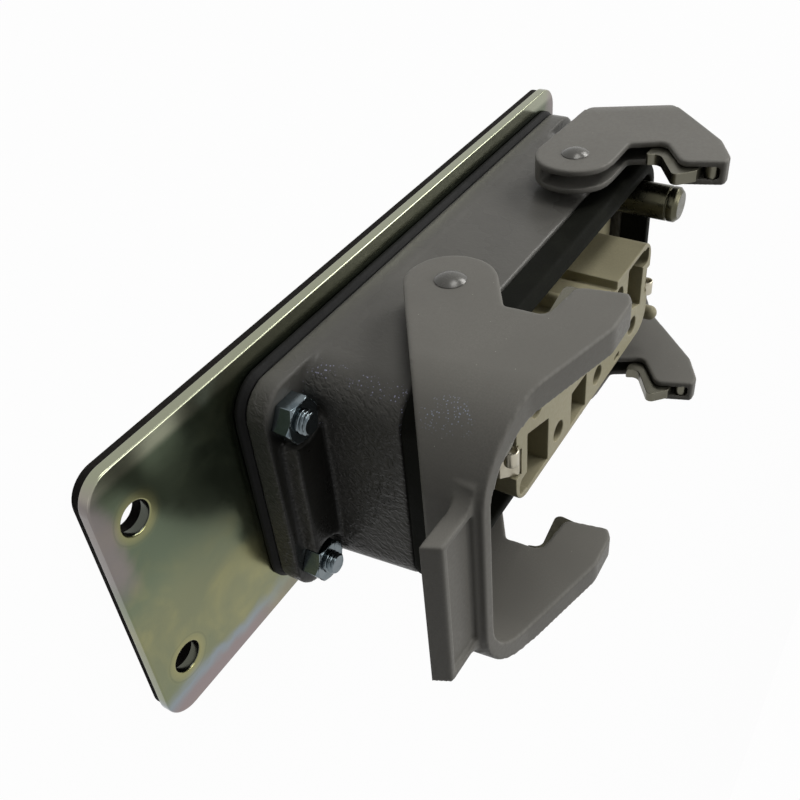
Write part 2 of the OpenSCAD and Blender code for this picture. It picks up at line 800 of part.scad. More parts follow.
// The part of the side view that is slotted for the hook plate
module slot_profile(inset = 0) {
    edge = slot_end_s - inset;
    low = -heel + slot_margin + inset;
    high = nose_t - nose_wall - inset;
    polygon([[-hub_r - 1, low], [edge, low], [edge, slope_t(edge) - slot_margin - inset],
             [nose_front_s + 1.4 - inset, high - 2], [nose_front_s - inset, high], [-hub_r - 1, high]]);
}

// Side view of the spring hook plate, turned about the nose pin
module hook_profile(turn) {
    eye_s = nose_pin_r + slide_gap;
    intersection() {
        translate([nose_pin_s, nose_pin_t]) rotate(turn) translate([-nose_pin_s, -nose_pin_t]) {
            polygon(rounded_path([
                [plate_back_s, tooth_t, 1], [tooth_s, tooth_t, 0.4], [throat_s, throat_t, 1.6],
                [hook_s, hook_t, 1.2], [hook_foot_s, hook_foot_t, 0.3], [nose_pin_s + eye_s, hook_foot_t, 0],
                [nose_pin_s + eye_s, nose_t, 0], [plate_back_s, nose_t, 0]
            ]));
        }
        slot_profile(slide_gap);
    }
}

// View of the lever along its crossbar's face: two arms joined by the crossbar
module lever_plan() {
    difference() {
        translate([reach - plan_l / 2, 0]) rounded(plan_l, lever_w, bend_r);
        translate([reach_in - plan_l / 2, 0]) rounded(plan_l, 2 * arm_in, bend_in_r);
    }
}

// Handle tab seen square to its face, with a flare at both sides of its root
module tab_plan() {
    translate([-tab_root, -tab_w / 2]) square([tab_root + tab_l, tab_w]);
    for (y = [-1, 1]) scale([1, y, 1]) translate([-tab_root, tab_w / 2 - eps]) difference() {
        square([tab_root + tab_flare, tab_flare]);
        translate([tab_root + tab_flare, tab_flare]) circle(tab_flare);
    }
}

// Handle tab: it stands out from the crossbar, a step below the crossbar's edge
module tab() {
    rotate([0, tab_angle, 0]) {
        translate([edge_s * cos(tab_angle) - edge_t * sin(tab_angle), 0,
                   edge_s * sin(tab_angle) + edge_t * cos(tab_angle) - tab_step - tab_t]) {
            difference() {
                union() {
                    linear_extrude(tab_t) tab_plan();
                    across(tab_w) {
                        polygon([[tab_l - 1, 0], [tab_l + tab_toe, 0], [tab_l, tab_t], [tab_l - 1, tab_t]]);
                    }
                }
                translate([tab_rim / 2, tab_rim - tab_w / 2, tab_t - tab_recess]) {
                    cube([tab_l - tab_rim * 1.5, tab_w - 2 * tab_rim, tab_recess + eps]);
                }
            }
        }
    }
}

// Turns the lever's own plane (s, t) into X and Z and gives it its depth along Y
module across(w) {
    rotate([90, 0, 0]) linear_extrude(w, center = true) children();
}

module lever_solid() {
    difference() {
        union() {
            intersection() {
                across(lever_w) arm_profile();
                rotate([0, crossbar_lean, 0]) linear_extrude(plan_l, center = true) lever_plan();
            }
            tab();
        }
        for (y = [-1, 1]) translate([0, y * (slot_in + slot_out) / 2, 0]) {
            across(slot_out - slot_in) slot_profile();
        }
        rotate([90, 0, 0]) cylinder(h = lever_w + 2, r = pin_r + fit_gap, center = true);
        translate([nose_pin_s, 0, nose_pin_t]) rotate([90, 0, 0]) difference() {
            cylinder(h = 2 * (slot_out + 0.6), r = nose_pin_r + 0.02, center = true);
            cylinder(h = 2 * (slot_in - 0.6), r = nose_pin_r + 1, center = true);
        }
    }
}

// Puts a lever's own frame at its pivot; side is -1 for the near lever and 1 for the far lever
module at_pivot(side) {
    angle = side < 0 ? near_angle : far_angle;
    pivot_x = side < 0 ? near_pivot_x : far_pivot_x;
    translate([pivot_x, 0, z_pivot]) scale([side, 1, 1]) rotate([0, -angle, 0]) children();
}

module lever(side) {
    color([0.43, 0.42, 0.38]) at_pivot(side) lever_solid();
}

module hook_plate(side, y) {
    turn = side < 0 ? near_hook_turn : far_hook_turn;
    color([0.45, 0.44, 0.38]) at_pivot(side) translate([0, y * (slot_in + slot_out) / 2, 0]) {
        across(slot_out - slot_in - 2 * plate_gap) hook_profile(turn);
    }
}

module nose_pin(side, y) {
    color([0.6, 0.59, 0.55]) at_pivot(side) {
        translate([nose_pin_s, y * (slot_in + slot_out) / 2, nose_pin_t]) rotate([90, 0, 0]) {
            cylinder(h = slot_out - slot_in + 1.1, r = nose_pin_r, center = true);
        }
    }
}

// Rivet-headed pin that is pressed into the housing and carries one arm
module pivot_pin(side, y) {
    pivot_x = side < 0 ? near_pivot_x : far_pivot_x;
    dome_r = (pin_head_r * pin_head_r + pin_head_h * pin_head_h) / (2 * pin_head_h);
    color([0.45, 0.44, 0.4]) translate([pivot_x, y * (arm_out + 0.1), z_pivot]) rotate([-90 * y, 0, 0]) {
        translate([0, 0, -arm_t - pin_depth]) cylinder(h = arm_t + pin_depth + eps, r = pin_r);
        intersection() {
            translate([0, 0, pin_head_h - dome_r]) sphere(r = dome_r);
            cylinder(h = pin_head_h + 1, r = pin_head_r + 1);
        }
    }
}

panel_gasket();
adapter_plate();
flange_gasket();
housing_shell();
mating_seal();
insert_body();
contact(0);  // contact_1
contact(1);  // contact_2
contact(2);  // contact_3
contact(3);  // contact_4
contact(4);  // contact_5
contact(5);  // contact_6
terminal_screw(0);  // terminal_screw_1
terminal_screw(1);  // terminal_screw_2
terminal_screw(2);  // terminal_screw_3
terminal_screw(3);  // terminal_screw_4
terminal_screw(4);  // terminal_screw_5
terminal_screw(5);  // terminal_screw_6
earth_strip(-1);  // earth_strip_near
earth_strip(1);  // earth_strip_far
earth_screw(-1);  // earth_screw_near
earth_screw(1);  // earth_screw_far
guide_pin();
guide_bush();
insert_screw();
coding_pin();
flange_screw(1);  // flange_screw_top
flange_screw(-1);  // flange_screw_bottom
flange_nut(1);  // flange_nut_top
flange_nut(-1);  // flange_nut_bottom
lever(-1);  // lever_near
lever(1);  // lever_far
hook_plate(-1, 1);  // hook_plate_near_top
hook_plate(-1, -1);  // hook_plate_near_bottom
hook_plate(1, 1);  // hook_plate_far_top
hook_plate(1, -1);  // hook_plate_far_bottom
nose_pin(-1, 1);  // nose_pin_near_top
nose_pin(-1, -1);  // nose_pin_near_bottom
nose_pin(1, 1);  // nose_pin_far_top
nose_pin(1, -1);  // nose_pin_far_bottom
pivot_pin(-1, 1);  // pivot_pin_near_top
pivot_pin(-1, -1);  // pivot_pin_near_bottom
pivot_pin(1, 1);  // pivot_pin_far_top
pivot_pin(1, -1);  // pivot_pin_far_bottom
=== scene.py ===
"""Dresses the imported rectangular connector: finishes, soft edges, threads and studio."""

from __future__ import annotations

import logging
import math
from collections.abc import Iterable, Sequence
from dataclasses import dataclass, field
from enum import Enum
from functools import reduce

import bmesh
import bpy
from mathutils import Matrix, Vector

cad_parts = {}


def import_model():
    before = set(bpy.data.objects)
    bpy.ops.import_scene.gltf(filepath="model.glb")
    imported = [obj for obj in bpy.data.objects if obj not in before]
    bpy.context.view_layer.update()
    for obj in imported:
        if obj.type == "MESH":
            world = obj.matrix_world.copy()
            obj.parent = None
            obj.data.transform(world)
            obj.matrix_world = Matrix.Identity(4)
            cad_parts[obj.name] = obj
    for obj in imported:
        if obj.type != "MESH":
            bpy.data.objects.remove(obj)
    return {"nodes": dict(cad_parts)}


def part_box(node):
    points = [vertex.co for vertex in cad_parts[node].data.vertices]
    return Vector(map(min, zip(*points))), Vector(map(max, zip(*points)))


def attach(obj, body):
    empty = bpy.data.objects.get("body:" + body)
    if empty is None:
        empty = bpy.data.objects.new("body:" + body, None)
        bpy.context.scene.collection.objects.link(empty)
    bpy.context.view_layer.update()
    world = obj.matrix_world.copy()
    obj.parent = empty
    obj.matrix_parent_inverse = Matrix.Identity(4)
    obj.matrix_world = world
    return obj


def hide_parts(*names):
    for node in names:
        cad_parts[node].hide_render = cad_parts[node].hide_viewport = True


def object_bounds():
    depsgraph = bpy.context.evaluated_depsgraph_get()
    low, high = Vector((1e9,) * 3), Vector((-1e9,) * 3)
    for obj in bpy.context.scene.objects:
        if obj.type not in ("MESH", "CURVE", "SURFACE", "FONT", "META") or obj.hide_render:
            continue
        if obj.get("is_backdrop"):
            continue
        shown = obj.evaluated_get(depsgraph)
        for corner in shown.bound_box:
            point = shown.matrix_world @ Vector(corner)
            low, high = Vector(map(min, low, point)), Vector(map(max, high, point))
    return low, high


LOG = logging.getLogger("connector")
MM = 0.001
MIX_BELOW, MIX_ABOVE, MIX_RESULT = 6, 7, 2
RGB = tuple[float, float, float]
Place = tuple[float, float, float]
Span = tuple[float, float]
Inputs = dict[str | int, object]
BASE_BODY = "base"
WELD = 0.002 * MM
LEVEL_DEGREES = 0.4


class End(Enum):
    """The two ends of the connector."""

    NEAR = "near"
    FAR = "far"


class Side(Enum):
    """The two long sides of the connector."""

    TOP = "top"
    BOTTOM = "bottom"


class Axis(Enum):
    """A direction of the shared frame."""

    X = "X"
    Y = "Y"
    Z = "Z"


class Channel(Enum):
    """A random number that each cell of a pattern has."""

    RED = "Red"
    GREEN = "Green"


class Sum(Enum):
    """A sum that one node works out."""

    ADD = "ADD"
    SUBTRACT = "SUBTRACT"
    MULTIPLY = "MULTIPLY"
    MAXIMUM = "MAXIMUM"
    ABSOLUTE = "ABSOLUTE"


def put(tree: bpy.types.NodeTree, socket: bpy.types.NodeSocket, value: object) -> None:
    """Gives an input a number, a colour or a link.

    Args:
        tree: The node tree.
        socket: The input to fill.
        value: A number, a sequence or another node's output.
    """
    if isinstance(value, bpy.types.NodeSocket):
        tree.links.new(value, socket)
    elif isinstance(value, (int, float)):
        socket.default_value = value
    else:
        values = tuple(value)
        opaque = (1.0,) if len(socket.default_value) > len(values) else ()
        socket.default_value = values + opaque


def add_node(tree: bpy.types.NodeTree, kind: str, inputs: Inputs,
             **settings: object) -> bpy.types.Node:
    """Adds one node to a tree.

    Args:
        tree: The node tree.
        kind: The node's type, without the word that all types start with.
        inputs: What its inputs get, by name or number.
        settings: The node's own settings.

    Returns:
        The new node.
    """
    node = tree.nodes.new(f"ShaderNode{kind}")
    for name, value in settings.items():
        setattr(node, name, value)
    for key, value in inputs.items():
        put(tree, node.inputs[key], value)
    return node


class Graph:
    """Builds the node tree of one material."""

    def __init__(self, name: str) -> None:
        """Starts an empty tree with its output and its principled shader.

        Args:
            name: The material's name.
        """
        self.material = bpy.data.materials.new(name)
        self.material.use_nodes = True
        self.tree = self.material.node_tree
        self.tree.nodes.clear()
        self.shader = self.node("BsdfPrincipled", {})
        self.node("OutputMaterial", {"Surface": self.shader.outputs["BSDF"]})
        self.place = self.node("TexCoord", {}).outputs["Object"]

    def node(self, kind: str, inputs: Inputs, **settings: object) -> bpy.types.Node:
        """Adds one node to the tree."""
        return add_node(self.tree, kind, inputs, **settings)

    def noise(self, scale: float, detail: float = 2.0, rough: float = 0.5, distort: float = 0.0,
              place: bpy.types.NodeSocket | None = None) -> bpy.types.NodeSocket:
        """Adds a noise pattern.

        Args:
            scale: Features to the metre.
            detail: Octaves of detail.
            rough: Share of the finer octaves.
            distort: How far the pattern is pushed about.
            place: Coordinates, or the object's own.

        Returns:
            The pattern's value from 0 to 1.
        """
        inputs = {"Vector": place or self.place, "Scale": scale, "Detail": detail,
                  "Roughness": rough, "Distortion": distort}
        return self.node("TexNoise", inputs).outputs["Fac"]

    def cells(self, scale: float, smooth: float = 0.0) -> bpy.types.Node:
        """Adds a cell pattern.

        Args:
            scale: Cells to the metre.
            smooth: Smoothness of the borders, or 0 for sharp cells.

        Returns:
            The pattern's node, with Distance and Color outputs.
        """
        inputs = {"Vector": self.place, "Scale": scale}
        if smooth > 0.0:
            return self.node("TexVoronoi", inputs | {"Smoothness": smooth}, feature="SMOOTH_F1")
        return self.node("TexVoronoi", inputs)

    def chance(self, cells: bpy.types.Node, channel: Channel) -> bpy.types.NodeSocket:
        """Gives the random number, from 0 to 1, that each cell of a pattern has."""
        parts = self.node("SeparateColor", {"Color": cells.outputs["Color"]})
        return parts.outputs[channel.value]

    def stretched(self, x: float, y: float, z: float) -> bpy.types.NodeSocket:
        """Gives the object's coordinates, scaled along each axis."""
        node = self.node("VectorMath", {0: self.place, 1: (x, y, z)}, operation="MULTIPLY")
        return node.outputs["Vector"]

    def slanted(self, angle: float, along: float, across: float) -> bpy.types.NodeSocket:
        """Turns the coordinates about X and scales them, for a grain that runs at a slant.

        Args:
            angle: Turn in degrees.
            along: Scale along the grain.
            across: Scale across it.

        Returns:
            The new coordinates.
        """
        inputs = {"Vector": self.place, "Rotation": (math.radians(angle), 0.0, 0.0),
                  "Scale": (1.0, 1.0 / across, 1.0 / along)}
        return self.node("Mapping", inputs, vector_type="TEXTURE").outputs["Vector"]

    def axis(self, axis: Axis) -> bpy.types.NodeSocket:
        """Gives the object's coordinate along an axis, in metres."""
        return self.node("SeparateXYZ", {"Vector": self.place}).outputs[axis.value]

    def facing(self, axis: Axis) -> bpy.types.NodeSocket:
        """Tells how squarely the surface faces along an axis, from 0 to 1."""
        normal = self.node("NewGeometry", {}).outputs["Normal"]
        return self.unsigned(self.node("SeparateXYZ", {"Vector": normal}).outputs[axis.value])

    def distance(self, point: Sequence[float]) -> bpy.types.NodeSocket:
        """Gives the distance from a point of the object, in metres."""
        node = self.node("VectorMath", {0: self.place, 1: point}, operation="DISTANCE")
        return node.outputs["Value"]

    def work_out(self, kind: Sum, a: object, b: object = 0.0) -> bpy.types.NodeSocket:
        """Works out one sum.

        Args:
            kind: Which sum.
            a: The first number or output.
            b: The second number or output.

        Returns:
            The result.
        """
        return self.node("Math", {0: a, 1: b}, operation=kind.value).outputs["Value"]

    def plus(self, a: object, b: object) -> bpy.types.NodeSocket:
        """Adds b to a."""
        return self.work_out(Sum.ADD, a, b)

    def minus(self, a: object, b: object) -> bpy.types.NodeSocket:
        """Takes b from a."""
        return self.work_out(Sum.SUBTRACT, a, b)

    def times(self, first: object, *others: object) -> bpy.types.NodeSocket:
        """Multiplies two or more numbers or outputs."""
        return reduce(lambda a, b: self.work_out(Sum.MULTIPLY, a, b), others, first)

    def unsigned(self, value: object) -> bpy.types.NodeSocket:
        """Drops the sign of a value."""
        return self.work_out(Sum.ABSOLUTE, value)

    def ramp(self, value: bpy.types.NodeSocket, low: float, high: float, start: float = 0.0,
             end: float = 1.0) -> bpy.types.NodeSocket:
        """Turns the range low to high into start to end, smoothly, and holds it there.

        Args:
            value: What is mapped.
            low: Where the ramp starts.
            high: Where it ends.
            start: Result at low.
            end: Result at high.

        Returns:
            The mapped value.
        """
        inputs = {"Value": value, "From Min": low, "From Max": high, "To Min": start, "To Max": end}
        return self.node("MapRange", inputs, interpolation_type="SMOOTHSTEP").outputs["Result"]

    def blend(self, share: object, a: object, b: object) -> bpy.types.NodeSocket:
        """Lays colour b over colour a.

        Args:
            share: How much of b shows.
            a: The colour below.
            b: The colour above.

        Returns:
            The mixed colour.
        """
        inputs = {"Factor": share, MIX_BELOW: a, MIX_ABOVE: b}
        return self.node("Mix", inputs, data_type="RGBA").outputs[MIX_RESULT]

    def bump(self, height: bpy.types.NodeSocket, depth: float, strength: float = 1.0,
             below: bpy.types.NodeSocket | None = None) -> bpy.types.NodeSocket:
        """Turns a pattern into relief.

        Args:
            height: The pattern.
            depth: Relief in metres from 0 to 1 of the pattern.
            strength: Share of the relief that shows.
            below: Relief that this one lies on.

        Returns:
            The bumped normal.
        """
        inputs = {"Strength": strength, "Distance": depth, "Height": height}
        if below is not None:
            inputs["Normal"] = below
        return self.node("Bump", inputs).outputs["Normal"]

    def set(self, **sockets: object) -> None:
        """Fills the principled shader's sockets, with _ for a space in their names."""
        for name, value in sockets.items():
            put(self.tree, self.shader.inputs[name.replace("_", " ")], value)


@dataclass(frozen=True)
class Finish:
    """A surface finish.

    Attributes:
        name: The material's name.
        colour: Its main colour, linear.
        roughness: Its roughness.
        metallic: 1 for bare metal.
        specular: Level of the clear reflection.
    """

    name: str
    colour: RGB
    roughness: float
    metallic: float = 0.0
    specular: float = 0.4

    def material(self) -> bpy.types.Material:
        """Makes the finish's material.

        Returns:
            A new material.
        """
        graph = Graph(self.name)
        graph.set(Base_Color=self.colour, Roughness=self.roughness, Metallic=self.metallic,
                  Specular_IOR_Level=self.specular)
        self.detail(graph)
        return graph.material

    def detail(self, graph: Graph) -> None:
        """Adds the pattern and the relief, which each kind of finish has of its own."""
        raise NotImplementedError


def shade(colour: RGB, factor: float) -> RGB:
    """Makes a colour lighter or darker.

    Args:
        colour: The colour.
        factor: What each channel is multiplied by.

    Returns:
        The new colour.
    """
    return tuple(min(1.0, channel * factor) for channel in colour)


@dataclass(frozen=True)
class PaintedSparkle:
    """Painted sparkle: small bright specks on a round corner, a painted highlight.

    Attributes:
        centre: Middle of the sparkling place.
        reach: How far the specks spread from there.
        cells: Cells to the metre, of which some hold a speck.
        share: Share of the cells that hold one.
        colour: The specks' colour.
        from_side: How far the surface turns from the side, where specks start and are full.
        to_end: The same, where they thin out and stop.
        patch_scale: Patches of specks to the metre.
        patch: Where a patch starts and is full.
        dot: Where a speck ends within its cell.
    """

    centre: Place
    reach: float
    cells: float
    share: float
    colour: RGB
    from_side: Span = (0.2, 0.36)
    to_end: Span = (0.6, 0.78)
    patch_scale: float = 420.0
    patch: Span = (0.34, 0.5)
    dot: Span = (0.15, 0.4)

    def lay(self, graph: Graph, below: bpy.types.NodeSocket) -> bpy.types.NodeSocket:
        """Lays the painted sparkle over a colour, between the faces that the corner joins.

        Args:
            graph: The material's tree.
            below: The colour without the sparkle.

        Returns:
            The colour with the painted sparkle.
        """
        turn = graph.facing(Axis.X)
        band = graph.times(graph.ramp(turn, *self.from_side),
                           graph.ramp(turn, *self.to_end, 1.0, 0.0))
        away = graph.distance(self.centre)
        band = graph.times(band, graph.ramp(away, self.reach * 0.7, self.reach, 1.0, 0.0))
        fleck = graph.cells(self.cells)
        patches = graph.ramp(graph.noise(self.patch_scale), *self.patch)
        bare = 1.0 - self.share
        lucky = graph.ramp(graph.chance(fleck, Channel.GREEN), bare, bare + 0.01)
        small = graph.ramp(fleck.outputs["Distance"], *self.dot, 1.0, 0.0)
        # Painted sparkle: lighter specks stand in for highlights on the round corner.
        sparkle_share = graph.times(band, patches, graph.times(lucky, small))
        return graph.blend(sparkle_share, below, self.colour)


@dataclass(frozen=True)
class HammertonePaint(Finish):
    """Stove enamel over a casting: hammered on the ends, nearly even on the long sides.

    Attributes:
        painted_sparkle: Painted sparkle, a painted highlight, on the corner by the near end.
        dimples: Dimples to the metre.
        depth: Depth of the dimples on the ends.
        calm: Share of the depth that is left on the long sides and on level faces.
        slant: Turn of the dimples' grain, in degrees, and its scales along and across.
        hammered: How squarely a face lies to the ends, where dimples start and are full.
        foot_half: Where the painted shadow at the foot thins out, across the housing.
        foot_edge: Where the painted shadow starts and is full, along the housing.
        painted_foot_shadow: Colour of the shadow painted on the flange at the housing's foot.
    """

    # Painted sparkle on the housing's corner between the upper side and the near end.
    painted_sparkle: PaintedSparkle = PaintedSparkle((-31.4 * MM, 19.3 * MM, 19.0 * MM), reach=11.0 * MM, cells=2600.0,
                            share=0.5, colour=(0.36, 0.37, 0.52))
    dimples: float = 900.0
    depth: float = 0.15 * MM
    calm: float = 0.1
    slant: tuple[float, float, float] = (34.0, 0.85, 1.35)
    hammered: Span = (0.35, 0.9)
    foot_half: Span = (14.0 * MM, 21.0 * MM)
    foot_edge: Span = (31.0 * MM, 33.5 * MM)
    # Painted shadow: the dark that the housing casts on the flange's foot.
    painted_foot_shadow: RGB = (0.006, 0.006, 0.005)

    def detail(self, graph: Graph) -> None:
        """Adds dimples, orange peel, painted shadow at the foot, painted sparkle on a corner and
        small changes of gloss.

        Args:
            graph: The material's tree.
        """
        grain = graph.slanted(*self.slant)
        dimple = graph.noise(self.dimples, rough=0.45, distort=0.9, place=grain)
        peel = graph.noise(self.dimples * 3.0)
        swell = graph.noise(self.dimples * 0.15)
        share = graph.ramp(graph.facing(Axis.X), *self.hammered, self.calm, 1.0)
        relief = graph.times(graph.ramp(dimple, 0.3, 0.7), share)
        coarse = graph.bump(relief, self.depth, 0.8)
        graph.set(Normal=graph.bump(peel, self.depth * 0.1, 0.6, coarse))
        pits = graph.blend(graph.times(relief, 0.5), self.colour, shade(self.colour, 0.72))
        light = graph.ramp(swell, 0.3, 0.7, 0.0, 0.5)
        colour = graph.blend(light, pits, shade(self.colour, 1.12))
        # Painted shadow of the housing on the flange's foot.
        colour = graph.blend(self.foot(graph), colour, self.painted_foot_shadow)
        # The painted sparkle goes on last.
        graph.set(Base_Color=self.painted_sparkle.lay(graph, colour))
        graph.set(Roughness=graph.ramp(swell, 0.2, 0.8, self.roughness * 0.85,
                                       self.roughness * 1.2))

    def foot(self, graph: Graph) -> bpy.types.NodeSocket:
        """Finds the level faces at the near foot of the housing, where the housing's shadow is
        painted.

        Args:
            graph: The material's tree.

        Returns:
            How much of the painted shadow shows.
        """
        across = graph.ramp(graph.unsigned(graph.axis(Axis.Y)), *self.foot_half, 1.0, 0.0)
        along = graph.ramp(graph.minus(0.0, graph.axis(Axis.X)), *self.foot_edge)
        return graph.times(across, along, graph.ramp(graph.facing(Axis.Z), 0.35, 0.8, 0.15, 0.92))


@dataclass(frozen=True)
class PassivatedZinc(Finish):
    """Yellow passivation on zinc: olive gold that drifts to green, rose and blue.

    Attributes:
        holes: Places of the panel holes, each with a gold halo.
        half_length: Half of the plate's length.
        drift_scale: Slow drifts of colour to the metre.
        cloud_scale: Clouds of colour to the metre.
        wander: How far the drift pushes the painted dark reflection, along and across the plate.
        wobble: How far the clouds push the other borders.
        reflection_by_flange: Where the painted reflection of the housing by the flange starts and
            is full, along the plate.
        reflection_beside: Where it starts and is full across the plate.
        upper: Where the painted dark reflection on the upper half starts and is full, across the
            plate.
        strip: Where the pale strip on the upper edge starts and is full.
        band: Where the tinted band on the lower edge starts and is full.
        fading: Where that band thins out, along the plate.
        rim: Where it turns from blue to rose.
        side: How far from the plate's ends their rose starts and is full.
        high: Where that rose starts and is full, across the plate.
        halo: How far from a hole's centre its halo starts and ends to thin out.
        ring: The four steps of the faint ring that a washer left round a hole.
        wall: How far from a hole's centre its dark wall thins out.
    """

    holes: tuple[Place, ...] = ()
    half_length: float = 71.5 * MM
    drift_scale: float = 26.0
    cloud_scale: float = 90.0
    wander: Span = (9.0 * MM, 8.0 * MM)
    wobble: float = 8.0 * MM
    # Painted reflection: the dark housing mirrored in the plate by the flange and on its upper
    # half.
    reflection_by_flange: Span = (-62.0 * MM, -46.0 * MM)
    reflection_beside: Span = (-16.0 * MM, 6.0 * MM)
    upper: Span = (0.0, 15.0 * MM)
    strip: Span = (23.0 * MM, 24.6 * MM)
    band: Span = (-19.6 * MM, -22.4 * MM)
    fading: Span = (-52.0 * MM, -40.0 * MM)
    rim: Span = (-22.0 * MM, -24.6 * MM)
    side: Span = (4.5 * MM, 1.0 * MM)
    high: Span = (2.0 * MM, 10.0 * MM)
    halo: Span = (2.6 * MM, 5.0 * MM)
    ring: tuple[float, float, float, float] = (3.9 * MM, 4.15 * MM, 4.2 * MM, 4.45 * MM)
    wall: Span = (4.2 * MM, 4.6 * MM)
    gold: RGB = (0.34, 0.31, 0.13)
    green: RGB = (0.15, 0.19, 0.125)
    # Dark colour of the painted reflection, also used for the washer's ring.
    dark: RGB = (0.063, 0.0798, 0.0525)
    rose: RGB = (0.27, 0.205, 0.235)
    blue: RGB = (0.24, 0.28, 0.34)
    steel: RGB = (0.3, 0.31, 0.225)
    cut: RGB = (0.07, 0.072, 0.064)

    def detail(self, graph: Graph) -> None:
        """Adds the drifting colours, the tinted edges, the halos and fine rolling lines.

        Args:
            graph: The material's tree.
        """
        drift = graph.noise(self.drift_scale, rough=0.45, distort=0.6)
        cloud = graph.noise(self.cloud_scale, detail=3.0, rough=0.55, distort=0.4)
        wobble = graph.times(graph.minus(cloud, 0.5), self.wobble)
        colour = self.edges(graph, self.patches(graph, drift, cloud), wobble)
        graph.set(Base_Color=self.halos(graph, colour, wobble))
        sheet = graph.stretched(0.12, 1.0, 1.0)
        rolled = graph.noise(1400.0, detail=3.0, rough=0.6, place=sheet)
        gloss = graph.plus(cloud, graph.times(rolled, 0.3))
        graph.set(Roughness=graph.ramp(gloss, 0.45, 0.95, self.roughness * 0.85,
                                       self.roughness * 1.35))
        dent = graph.bump(graph.noise(55.0, detail=1.0), 0.25 * MM, 0.35)
        graph.set(Normal=graph.bump(rolled, 0.006 * MM, 0.6, dent))

    def patches(self, graph: Graph, drift: bpy.types.NodeSocket,
                cloud: bpy.types.NodeSocket) -> bpy.types.NodeSocket:
        """Lays the broad patches and the painted dark reflection of the housing.

        Args:
            graph: The material's tree.
            drift: The slowest pattern.
            cloud: The cloudy pattern.

        Returns:
            The colour so far.
        """
        colour = graph.blend(graph.ramp(drift, 0.35, 0.68), self.colour, self.green)
        colour = graph.blend(graph.ramp(cloud, 0.45, 0.8, 0.0, 0.5), colour, self.gold)
        along = graph.plus(graph.axis(Axis.X), graph.times(drift, self.wander[0]))
        across = graph.plus(graph.axis(Axis.Y), graph.times(drift, self.wander[1]))
        # Painted reflection of the housing, by the flange.
        painted_reflection = graph.times(graph.ramp(along, *self.reflection_by_flange, 0.0, 0.55),
                             graph.ramp(graph.axis(Axis.Y), *self.reflection_beside))
        colour = graph.blend(painted_reflection, colour, self.dark)
        # Painted reflection darkens the upper half.
        return graph.blend(graph.ramp(across, *self.upper, 0.0, 0.5), colour, self.dark)

    def edges(self, graph: Graph, colour: bpy.types.NodeSocket,
              wobble: bpy.types.NodeSocket) -> bpy.types.NodeSocket:
        """Tints the plate along its edges.

        Args:
            graph: The material's tree.
            colour: The colour so far.
            wobble: How far each border is pushed about.

        Returns:
            The colour with its tinted edges.
        """
        pale = graph.times(graph.ramp(graph.axis(Axis.Y), *self.strip), 0.9)
        colour = graph.blend(pale, colour, self.steel)
        low = graph.plus(graph.axis(Axis.Y), wobble)
        fading = graph.ramp(graph.axis(Axis.X), *self.fading, 1.0, 0.35)
        band = graph.times(graph.ramp(low, *self.band, 0.0, 0.72), fading)
        tint = graph.blend(graph.ramp(low, *self.rim), self.blue, self.rose)
        colour = graph.blend(band, colour, tint)
        reach = graph.plus(graph.unsigned(graph.axis(Axis.X)), wobble)
        start, full = (self.half_length - inset for inset in self.side)
        side = graph.ramp(reach, start, full, 0.0, 0.5)
        high = graph.ramp(graph.axis(Axis.Y), *self.high)
        return graph.blend(graph.times(side, high), colour, self.rose)

    def halos(self, graph: Graph, colour: bpy.types.NodeSocket,
              wobble: bpy.types.NodeSocket) -> bpy.types.NodeSocket:
        """Tints the plate round its holes and darkens the holes' walls.

        Args:
            graph: The material's tree.
            colour: The colour so far.
            wobble: How far each border is pushed about.

        Returns:
            The colour with the holes' tints.
        """
        level = graph.ramp(graph.facing(Axis.Z), 0.45, 0.75)
        for hole in self.holes:
            away = graph.plus(graph.distance(hole), graph.times(wobble, 0.2))
            halo = graph.times(graph.ramp(away, *self.halo, 0.5, 0.0), level)
            colour = graph.blend(halo, colour, self.gold)
            ring = graph.times(graph.ramp(away, *self.ring[:2]),
                               graph.ramp(away, *self.ring[2:], 0.22, 0.0), level)
            colour = graph.blend(ring, colour, self.dark)
            wall = graph.times(graph.ramp(away, *self.wall, 0.85, 0.0), graph.minus(1.0, level))
            colour = graph.blend(wall, colour, self.cut)
        return colour


